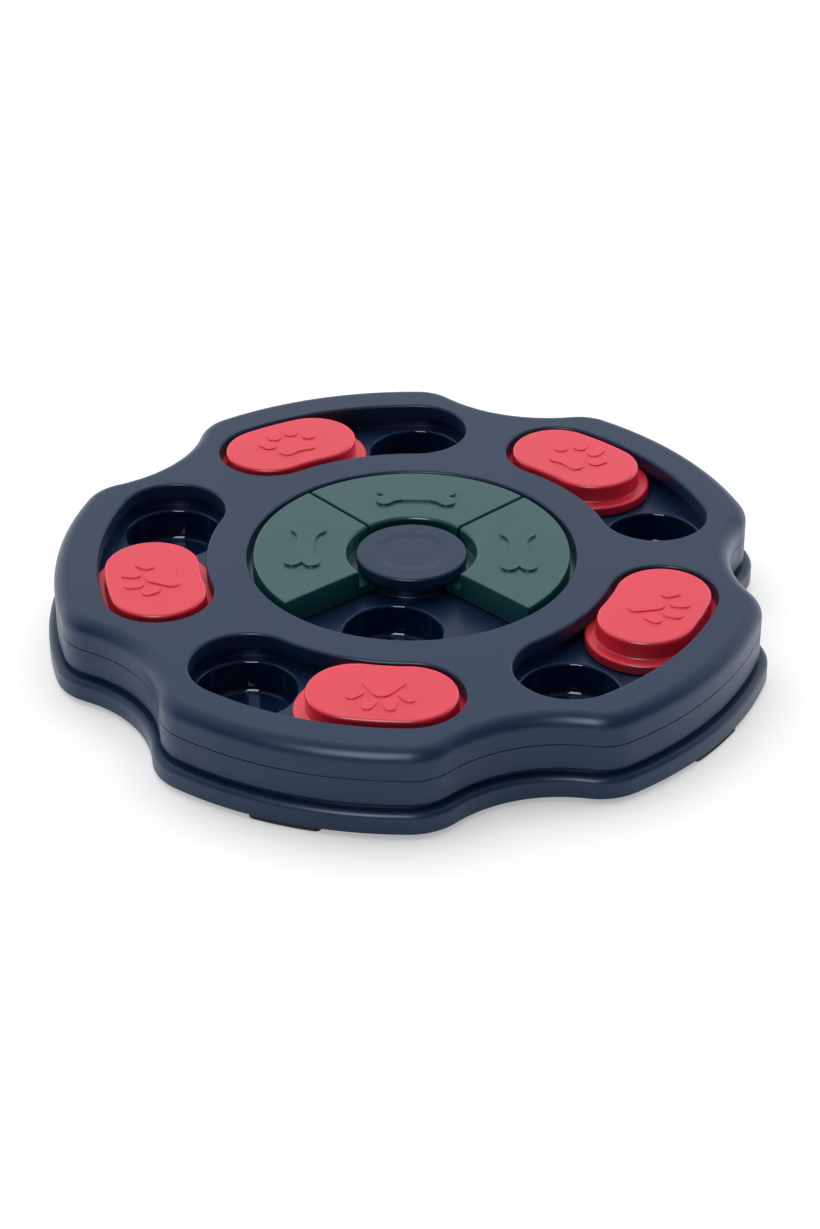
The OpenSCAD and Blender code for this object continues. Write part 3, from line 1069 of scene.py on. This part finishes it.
    def add_cells(self, shell: Shell, start: float) -> list[list[int]]:
        """Adds the hollow cells under a segment and returns their lower rings."""
        ceiling = self.levels.top + self.rise - self.wall
        rib_r = (self.inner_r + self.outer_r) / 2
        spread = self.pitch_deg - 2 * self.cell_margin_deg - (self.cells - 1) * self.rib_deg
        cell_deg = spread / self.cells
        rings = []
        for i in range(self.cells):
            first = start + self.cell_margin_deg + i * (cell_deg + self.rib_deg)
            for near, far in (
                (self.inner_r + self.wall, rib_r - self.wall / 2),
                (rib_r + self.wall / 2, self.outer_r - self.wall),
            ):
                rings.append(shell.plug(sector_loop(near, far, first, first + cell_deg, 1), [
                    Corner(-1.2, ceiling),
                    Corner(0, ceiling, 0.6),
                    Corner(0, self.levels.foot, 0.3),
                    Corner(0.5, self.levels.foot),
                ], at_end=False))
        return rings


@dataclass
class CentreCap:
    """The round cap in the middle, with its hollow stem."""

    levels: Levels
    radius: float = field(default_factory=lambda: box_mm("centre_cap")[1].x)
    thickness: float = 3.9
    shoulder: float = 1.5
    stem_r: float = 4.0
    hole: ScrewHole = ScrewHole()
    dish_r: float = 11.4
    dish_depth: float = 0.22

    def build(self) -> Thing:
        """Builds the cap with its shallow round dish."""
        lv, shell = self.levels, Shell()
        stem_z = box_mm("centre_cap")[0].z
        rim = lv.top - self.thickness
        dish = lv.top - self.dish_depth
        pilot_r, pilot_top = self.hole.pilot_r, lv.top - self.hole.pilot_drop
        shell.solid(round_loop(AXIS, 3), [
            Corner(pilot_r - 0.6, pilot_top),
            Corner(pilot_r, pilot_top, 0.2),
            Corner(pilot_r, stem_z, 0.2),
            Corner(self.stem_r, stem_z, 0.3),
            Corner(self.stem_r, lv.post, 0.3),
            Corner(self.radius - self.shoulder, lv.post, 0.4),
            Corner(self.radius - self.shoulder, rim, 0.3),
            Corner(self.radius, rim, 0.35),
            Corner(self.radius, lv.top, 1.0),
            Corner(self.dish_r + 1.3, lv.top, 12),
            Corner(self.dish_r - 1.3, dish, 12),
            Corner(self.dish_r - 2.5, dish),
        ])
        return shell.to_object("centre_cap_moulding")


# ---- Finishes --------------------------------------------------------------------------------


def linear(hex_colour: str) -> tuple[float, float, float, float]:
    """Turns an sRGB hex colour, such as "#0D2847", to linear RGBA."""
    values = [int(hex_colour[i:i + 2], 16) / 255 for i in (1, 3, 5)]
    return (*(v / 12.92 if v <= 0.04045 else ((v + 0.055) / 1.055) ** 2.4 for v in values), 1.0)


def add_node(
    tree: Tree,
    kind: str,
    settings: dict[str | int, object] | None = None,
    links: dict[str | int, Socket] | None = None,
) -> Node:
    """Adds a node with its settings and links.

    Args:
        tree: The node tree.
        kind: The node's type.
        settings: Values of the node's properties, in lower case, or of its inputs.
        links: The output that feeds each named input.

    Returns:
        The new node.
    """
    node = tree.nodes.new(kind)
    for key, value in (settings or {}).items():
        if isinstance(key, str) and key.islower():
            setattr(node, key, value)
        else:
            node.inputs[key].default_value = value
    for key, source in (links or {}).items():
        tree.links.new(source, node.inputs[key])
    return node


def noise(
    tree: Tree, place: Socket, size_mm: float, detail: float, roughness: float = 0.5, distortion: float = 0.0
) -> Socket:
    """Adds a noise pattern.

    Args:
        tree: The node tree.
        place: Where the pattern is looked up.
        size_mm: Size of its repeat, in millimetres.
        detail: How many finer layers it has.
        roughness: How strong the finer layers are.
        distortion: How far it is stirred.

    Returns:
        The pattern's value, from 0 to 1.
    """
    scale = 1 / (size_mm * MM)
    settings = {"Scale": scale, "Detail": detail, "Roughness": roughness, "Distortion": distortion}
    return add_node(tree, "ShaderNodeTexNoise", settings, {"Vector": place}).outputs[0]


def ramp(
    tree: Tree, value: Socket, start: Span = (0.0, 1.0), end: Span = (0.0, 1.0), soft: bool = False
) -> Socket:
    """Maps one span of a value to another, and holds it at the ends.

    Args:
        tree: The node tree.
        value: The value.
        start: The span that is mapped.
        end: What its two ends become.
        soft: Whether it eases in and out.

    Returns:
        The mapped value.
    """
    settings = {"From Min": start[0], "From Max": start[1], "To Min": end[0], "To Max": end[1]}
    if soft:
        settings["interpolation_type"] = "SMOOTHSTEP"
    return add_node(tree, "ShaderNodeMapRange", settings, {"Value": value}).outputs[0]


def calculate(tree: Tree, operation: str, *values: Socket) -> Socket:
    """Adds a sum, product or other operation on values."""
    return add_node(tree, "ShaderNodeMath", {"operation": operation}, dict(enumerate(values))).outputs[0]


def blend_colours(tree: Tree, factor: Socket, first: str, second: str) -> Socket:
    """Blends from one sRGB hex colour to another."""
    settings = {"data_type": "RGBA", 6: linear(first), 7: linear(second)}
    return add_node(tree, "ShaderNodeMix", settings, {0: factor}).outputs[2]


def bump(tree: Tree, height: Socket, depth_mm: float, strength: float = 1.0) -> Socket:
    """Adds a surface relief, and returns its normal."""
    settings = {"Strength": strength, "Distance": depth_mm * MM}
    return add_node(tree, "ShaderNodeBump", settings, {"Height": height}).outputs[0]


class Surface(NamedTuple):
    """A new material, its node tree, its Principled shader and the object's own coordinates."""

    material: bpy.types.Material
    tree: Tree
    shader: Node
    place: Socket

    def put(self, name: str, value: object) -> None:
        """Sets one of the shader's inputs."""
        self.shader.inputs[name].default_value = value

    def feed(self, name: str, source: Socket) -> None:
        """Links one of the shader's inputs."""
        self.tree.links.new(source, self.shader.inputs[name])


def new_material(name: str) -> Surface:
    """Makes a node material with nothing but its shader and its coordinates."""
    material = bpy.data.materials.new(name)
    material.use_nodes = True
    tree = material.node_tree
    place = add_node(tree, "ShaderNodeTexCoord").outputs["Object"]
    return Surface(material, tree, tree.nodes["Principled BSDF"], place)


@dataclass(frozen=True)
class MouldedPlastic:
    """Injection-moulded ABS: an even satin colour with a fine mould grain.

    Faint flow marks from the melt shift the colour and the gloss a little, and
    handling has left hairline rubs that break up the reflections. The grain is
    drawn coarser than the real 0.1 mm so that it shows.
    """

    name: str
    colour: str
    flow_colour: str
    roughness: float
    flow_roughness: float
    flow_mm: float = 34.0
    grain_mm: float = 0.55
    grain_depth_mm: float = 0.004
    rub_mm: float = 9.0
    rub_stretch: tuple[float, float, float] = (1.0, 7.0, 1.0)
    rub_turn: tuple[float, float, float] = (0.0, 0.0, 0.6)
    rub_roughness: float = 0.025
    ior: float = 1.5
    gloss_tint: str = "#FFFFFF"
    scatter: float = 0.0
    scatter_mm: float = 3.0
    scatter_reach: tuple[float, float, float] = (1.0, 0.2, 0.15)

    def build(self) -> bpy.types.Material:
        """Builds the material."""
        made = new_material(self.name)
        flow = ramp(made.tree, noise(made.tree, made.place, self.flow_mm, 3.0, 0.55, 1.4), (0.3, 0.7))
        grain = noise(made.tree, made.place, self.grain_mm, 2.0)
        made.feed("Base Color", blend_colours(made.tree, flow, self.colour, self.flow_colour))
        made.feed("Roughness", self.add_roughness(made.tree, made.place, flow))
        made.feed("Normal", bump(made.tree, grain, self.grain_depth_mm))
        made.put("IOR", self.ior)
        made.put("Specular Tint", linear(self.gloss_tint))
        made.put("Subsurface Weight", self.scatter)
        made.put("Subsurface Radius", self.scatter_reach)
        made.put("Subsurface Scale", self.scatter_mm * MM)
        return made.material

    def add_roughness(self, tree: Tree, place: Socket, flow: Socket) -> Socket:
        """Adds the roughness: the flow marks, and hairline rubs drawn out along one way."""
        settings = {"Scale": self.rub_stretch, "Rotation": self.rub_turn}
        stretched = add_node(tree, "ShaderNodeMapping", settings, {"Vector": place})
        rubs = noise(tree, stretched.outputs[0], self.rub_mm, 5.0, 0.7, 0.3)
        flowed = ramp(tree, flow, end=(self.roughness, self.flow_roughness))
        rubbed = ramp(tree, rubs, (0.5, 0.8), (0.0, self.rub_roughness))
        return calculate(tree, "ADD", flowed, rubbed)


@dataclass(frozen=True)
class PolishedTrayPlastic(MouldedPlastic):
    """The same ABS from a tool whose wells are polished and whose deck is satin."""

    deck_mm: float = 20.3
    satin_drops_mm: Span = (0.25, 0.03)
    well_roughness: float = 0.05

    def add_roughness(self, tree: Tree, place: Socket, flow: Socket) -> Socket:
        """Adds the roughness: satin on the deck, polished below its level."""
        satin = super().add_roughness(tree, place, flow)
        height = add_node(tree, "ShaderNodeSeparateXYZ", links={0: place}).outputs["Z"]
        polished_top, satin_bottom = ((self.deck_mm - drop) * MM for drop in self.satin_drops_mm)
        on_deck = ramp(tree, height, (polished_top, satin_bottom))
        settings = {"data_type": "FLOAT", 2: self.well_roughness}
        return add_node(tree, "ShaderNodeMix", settings, {0: on_deck, 3: satin}).outputs[0]


@dataclass(frozen=True)
class PadRubber:
    """Moulded soft rubber: matt, dark, and a little dusty."""

    name: str = "foot_pad_rubber"
    colour: str = "#15181F"
    dust: str = "#262A31"
    roughness: float = 0.85
    grain_mm: float = 0.8
    grain_depth_mm: float = 0.05

    def build(self) -> bpy.types.Material:
        """Builds the material."""
        made = new_material(self.name)
        grain = noise(made.tree, made.place, self.grain_mm, 4.0)
        made.feed("Base Color", blend_colours(made.tree, grain, self.colour, self.dust))
        made.feed("Normal", bump(made.tree, grain, self.grain_depth_mm, 0.6))
        made.put("Roughness", self.roughness)
        return made.material


@dataclass(frozen=True)
class ZincPlatedSteel:
    """Bright zinc-plated screws with fine turning marks."""

    name: str = "zinc_plated_steel"
    colour: str = "#B9BCC2"
    shade: str = "#9DA1A9"
    mark_mm: float = 0.35
    roughness: Span = (0.22, 0.4)

    def build(self) -> bpy.types.Material:
        """Builds the material."""
        made = new_material(self.name)
        marks = noise(made.tree, made.place, self.mark_mm, 3.0)
        made.feed("Base Color", blend_colours(made.tree, marks, self.colour, self.shade))
        made.feed("Roughness", ramp(made.tree, marks, end=self.roughness))
        made.put("Metallic", 1.0)
        return made.material


@dataclass
class Finishes:
    """The finish of each material slot."""

    made: dict[Slot, bpy.types.Material] = field(default_factory=dict)

    def build(self) -> None:
        """Builds one material for each slot."""
        recipes = {
            Slot.CASE: MouldedPlastic(
                "satin_navy_abs", "#122C4B", "#132E4D", 0.34, 0.37, gloss_tint="#DAEAFF",
            ),
            # The trays' navy, and its flow colour, are drawn darker than the case's, though it is the same
            # plastic: painted shade for the recessed deck and wells.
            Slot.TRAY: PolishedTrayPlastic(
                "polished_navy_abs_painted_shade", "#0D2849", "#0E294B", 0.31, 0.32,
                rub_roughness=0.004, gloss_tint="#DAEAFF",
            ),
            Slot.SLIDER: MouldedPlastic(
                "satin_coral_red_abs", "#EE2443", "#EB2241", 0.33, 0.36, grain_mm=0.5, ior=1.68, scatter=0.4,
            ),
            Slot.SEGMENT: MouldedPlastic(
                "satin_bottle_green_abs", "#0C5153", "#0B4E50", 0.24, 0.26, ior=1.62,
            ),
            Slot.SCREW: ZincPlatedSteel(),
            Slot.PAD: PadRubber(),
        }
        self.made = {slot: recipe.build() for slot, recipe in recipes.items()}

    def dress(self, piece: Thing, slot: Slot) -> None:
        """Gives a new piece its finish and its place in the record."""
        piece.data.materials.clear()
        piece.data.materials.append(self.made[slot])

    def repaint(self, node: str, slot: Slot) -> None:
        """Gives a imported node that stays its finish."""
        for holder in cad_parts[node].material_slots:
            holder.material = self.made[slot]


# ---- Stage, lamps and camera --------------------------------------------------------------------


@dataclass
class Studio:
    """A white floor, a soft sky with three low panels, and one softbox beside the camera.

    The panels and the bright bank overhead fill the shadows, and are kept almost
    out of reflections. The softbox shows only in reflections.
    """

    turn_deg: float = 9.94
    aim_right_mm: float = -0.61
    aim_forward_mm: float = -41.09
    aim_height_mm: float = 30.0
    distance_mm: float = 943.9
    elevation_deg: float = 31.915
    roll_deg: float = -0.182
    lens_mm: float = 83.46
    floor_mm: float = 6000.0
    softbox_left_deg: float = 15.0
    softbox_elevation_deg: float = 45.0
    softbox_distance_mm: float = 1300.0
    softbox_width_mm: float = 460.0
    softbox_height_mm: float = 720.0
    softbox_radiance: float = 9.0
    sky_right_deg: float = -10.0
    front_level: float = 0.1
    back_level: float = 0.82
    sky_span: Span = (-0.4, 0.6)
    overhead_level: float = 1.75
    overhead_span: Span = (0.6, 0.85)
    overhead_back_span: Span = (-0.3, 0.3)
    # Each low panel's bearing, counted from the camera's right, and its level
    panels: tuple[Span, ...] = ((40.0, 6.0), (140.0, 6.0), (-90.0, 1.0))
    panel_span: Span = (0.8, 0.97)
    panel_height_span: Span = (0.15, 0.45)
    fill_gloss: float = 0.05
    paper_white: float = 0.9
    seen_white: float = 0.78
    seen_glow: float = 0.37

    def in_view_frame(self, right: float, forward: float, height: float) -> Vector:
        """Returns a place in metres from distances along the camera's own bearings."""
        forwards = direction(90 + self.turn_deg)
        rightwards = direction(self.turn_deg)
        return (rightwards * right + forwards * forward + Vector((0, 0, height))) * MM

    def add_camera(self) -> None:
        """Adds the camera and makes it the scene's."""
        data = bpy.data.cameras.new("camera")
        data.lens = self.lens_mm
        data.sensor_width = 36.0
        data.clip_start, data.clip_end = 0.05, 20.0
        camera = bpy.data.objects.new("camera", data)
        bpy.context.scene.collection.objects.link(camera)
        lift = math.radians(self.elevation_deg)
        aim = self.in_view_frame(self.aim_right_mm, self.aim_forward_mm, self.aim_height_mm)
        back = self.in_view_frame(0, -self.distance_mm * math.cos(lift), self.distance_mm * math.sin(lift))
        camera.location = aim + back
        camera.rotation_mode = "QUATERNION"
        look = (-back).to_track_quat("-Z", "Y")
        camera.rotation_quaternion = look @ Quaternion((0, 0, 1), math.radians(self.roll_deg))
        bpy.context.scene.camera = camera

    def add_softbox(self) -> None:
        """Adds the softbox to the left of the camera."""
        lamp = bpy.data.lights.new("softbox", "AREA")
        lamp.shape = "RECTANGLE"
        lamp.size = self.softbox_width_mm * MM
        lamp.size_y = self.softbox_height_mm * MM
        lamp.energy = math.pi * lamp.size * lamp.size_y * self.softbox_radiance
        softbox = bpy.data.objects.new("softbox", lamp)
        bpy.context.scene.collection.objects.link(softbox)
        lift = math.radians(self.softbox_elevation_deg)
        bearing = direction(self.turn_deg - 90 - self.softbox_left_deg)
        away = bearing * math.cos(lift) + Vector((0, 0, math.sin(lift)))
        softbox.visible_diffuse = False
        softbox.location = away * self.softbox_distance_mm * MM
        softbox.rotation_mode = "QUATERNION"
        softbox.rotation_quaternion = (-away).to_track_quat("-Z", "Y")

    def add_sky(self) -> None:
        """Lights the scene with a soft sky, brighter behind the object, and its fill."""
        world = bpy.data.worlds.new("sky")
        bpy.context.scene.world = world
        world.use_nodes = True
        tree = world.node_tree
        way = add_node(tree, "ShaderNodeTexCoord").outputs["Generated"]
        light_path = add_node(tree, "ShaderNodeLightPath")
        height = add_node(tree, "ShaderNodeSeparateXYZ", links={0: way}).outputs["Z"]

        def towards(bearing_deg: float) -> Socket:
            """Returns how nearly a ray points to a bearing, counted from the camera's right."""
            settings = {"operation": "DOT_PRODUCT", 1: tuple(direction(self.turn_deg + bearing_deg))}
            return add_node(tree, "ShaderNodeVectorMath", settings, {0: way}).outputs["Value"]

        behind = towards(90 - self.sky_right_deg)
        sky = ramp(tree, behind, self.sky_span, (self.front_level, self.back_level), soft=True)
        overhead = ramp(tree, height, self.overhead_span, (0.0, self.overhead_level), soft=True)
        backwards = ramp(tree, behind, self.overhead_back_span, soft=True)
        low = ramp(tree, height, self.panel_height_span, (1.0, 0.0), soft=True)
        fill = calculate(tree, "MULTIPLY", overhead, backwards)
        for bearing_deg, panel_level in self.panels:
            panel = ramp(tree, towards(bearing_deg), self.panel_span, (0.0, panel_level), soft=True)
            fill = calculate(tree, "MULTIPLY_ADD", panel, low, fill)
        dimmed = ramp(tree, light_path.outputs["Is Glossy Ray"], end=(1.0, self.fill_gloss))
        level = calculate(tree, "MULTIPLY_ADD", fill, dimmed, sky)
        shown = add_node(
            tree, "ShaderNodeMix", {"data_type": "FLOAT", 3: 1.0},
            {0: light_path.outputs["Is Camera Ray"], 2: level},
        )
        tree.links.new(shown.outputs[0], tree.nodes["Background"].inputs["Strength"])
        tree.nodes["Background"].inputs["Color"].default_value = (1, 1, 1, 1)

    def add_floor(self) -> None:
        """Adds the white floor, which keeps the object's soft shadow.

        Looked at, or seen in a reflection, it is a little lighter than the light it gives.
        """
        half = self.floor_mm / 2 * MM
        corners = [(-half, -half, 0), (half, -half, 0), (half, half, 0), (-half, half, 0)]
        mesh = bpy.data.meshes.new("floor")
        mesh.from_pydata(corners, [], [(0, 1, 2, 3)])
        floor = bpy.data.objects.new("floor", mesh)
        bpy.context.scene.collection.objects.link(floor)
        material, tree, shader, _ = new_material("white_paper_sweep")
        tree.nodes.remove(shader)
        paper, seen = (
            add_node(tree, "ShaderNodeBsdfDiffuse", {"Color": (white, white, white, 1)}).outputs[0]
            for white in (self.paper_white, self.seen_white)
        )
        glow = add_node(tree, "ShaderNodeEmission", {"Color": (1, 1, 1, 1), "Strength": self.seen_glow})
        lifted = add_node(tree, "ShaderNodeAddShader", links={0: seen, 1: glow.outputs[0]})
        rays = add_node(tree, "ShaderNodeLightPath").outputs
        looked_at = calculate(tree, "MAXIMUM", rays["Is Camera Ray"], rays["Is Glossy Ray"])
        choice = add_node(tree, "ShaderNodeMixShader", links={0: looked_at, 1: paper, 2: lifted.outputs[0]})
        tree.links.new(choice.outputs[0], tree.nodes["Material Output"].inputs["Surface"])
        mesh.materials.append(material)

    def build(self) -> None:
        """Sets up the floor, the light and the camera."""
        self.add_floor()
        self.add_sky()
        self.add_softbox()
        self.add_camera()
        bpy.context.scene.view_settings.view_transform = "Standard"


# ---- The whole toy ------------------------------------------------------------------------------


@dataclass
class PuzzleFeeder:
    """Builds every piece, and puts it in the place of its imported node."""

    levels: Levels = field(default_factory=Levels)
    slots: Slots = field(default_factory=Slots)
    finishes: Finishes = field(default_factory=Finishes)

    def add(self, piece: Thing, node: str, body: str, slot: Slot) -> None:
        """Dresses a piece, rides it on its body and hides the node that it stands for."""
        self.finishes.dress(piece, slot)
        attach(piece, body)
        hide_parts(node)
        LOG.info("%s stands for %s on %s: %d faces", piece.name, node, body, len(piece.data.polygons))

    def build(self) -> None:
        """Builds the finishes and then the sub-assemblies in order."""
        self.finishes.build()
        case = Case(self.levels, self.slots)
        trays = Trays(self.levels, self.slots)
        sliders = Sliders(self.levels, self.slots)
        segments = Segments(self.levels)
        self.add(case.build_lower(), "lower_case", "base", Slot.CASE)
        self.add(case.build_cover(), "top_cover", "base", Slot.CASE)
        self.add(trays.build_centre(), "centre_tray", "base", Slot.TRAY)
        self.add(CentreCap(self.levels).build(), "centre_cap", "base", Slot.CASE)
        for number in range(1, LOBES + 1):
            self.add(trays.build_outer(number), f"outer_tray_{number}", "base", Slot.TRAY)
            self.add(case.build_pad(number), f"foot_pad_{number}", "base", Slot.PAD)
            self.add(sliders.build(number), f"slider_{number}", f"slider_{number}", Slot.SLIDER)
        for number in range(1, SEGMENTS + 1):
            self.add(segments.build(number), f"segment_{number}", f"segment_{number}", Slot.SEGMENT)
        for screws in ("cap_screw", "case_screws"):
            self.finishes.repaint(screws, Slot.SCREW)


def main() -> None:
    """Builds the toy and its studio."""
    logging.basicConfig(level=logging.INFO)
    PuzzleFeeder().build()
    Studio().build()


if __name__ == "__main__":
    main()
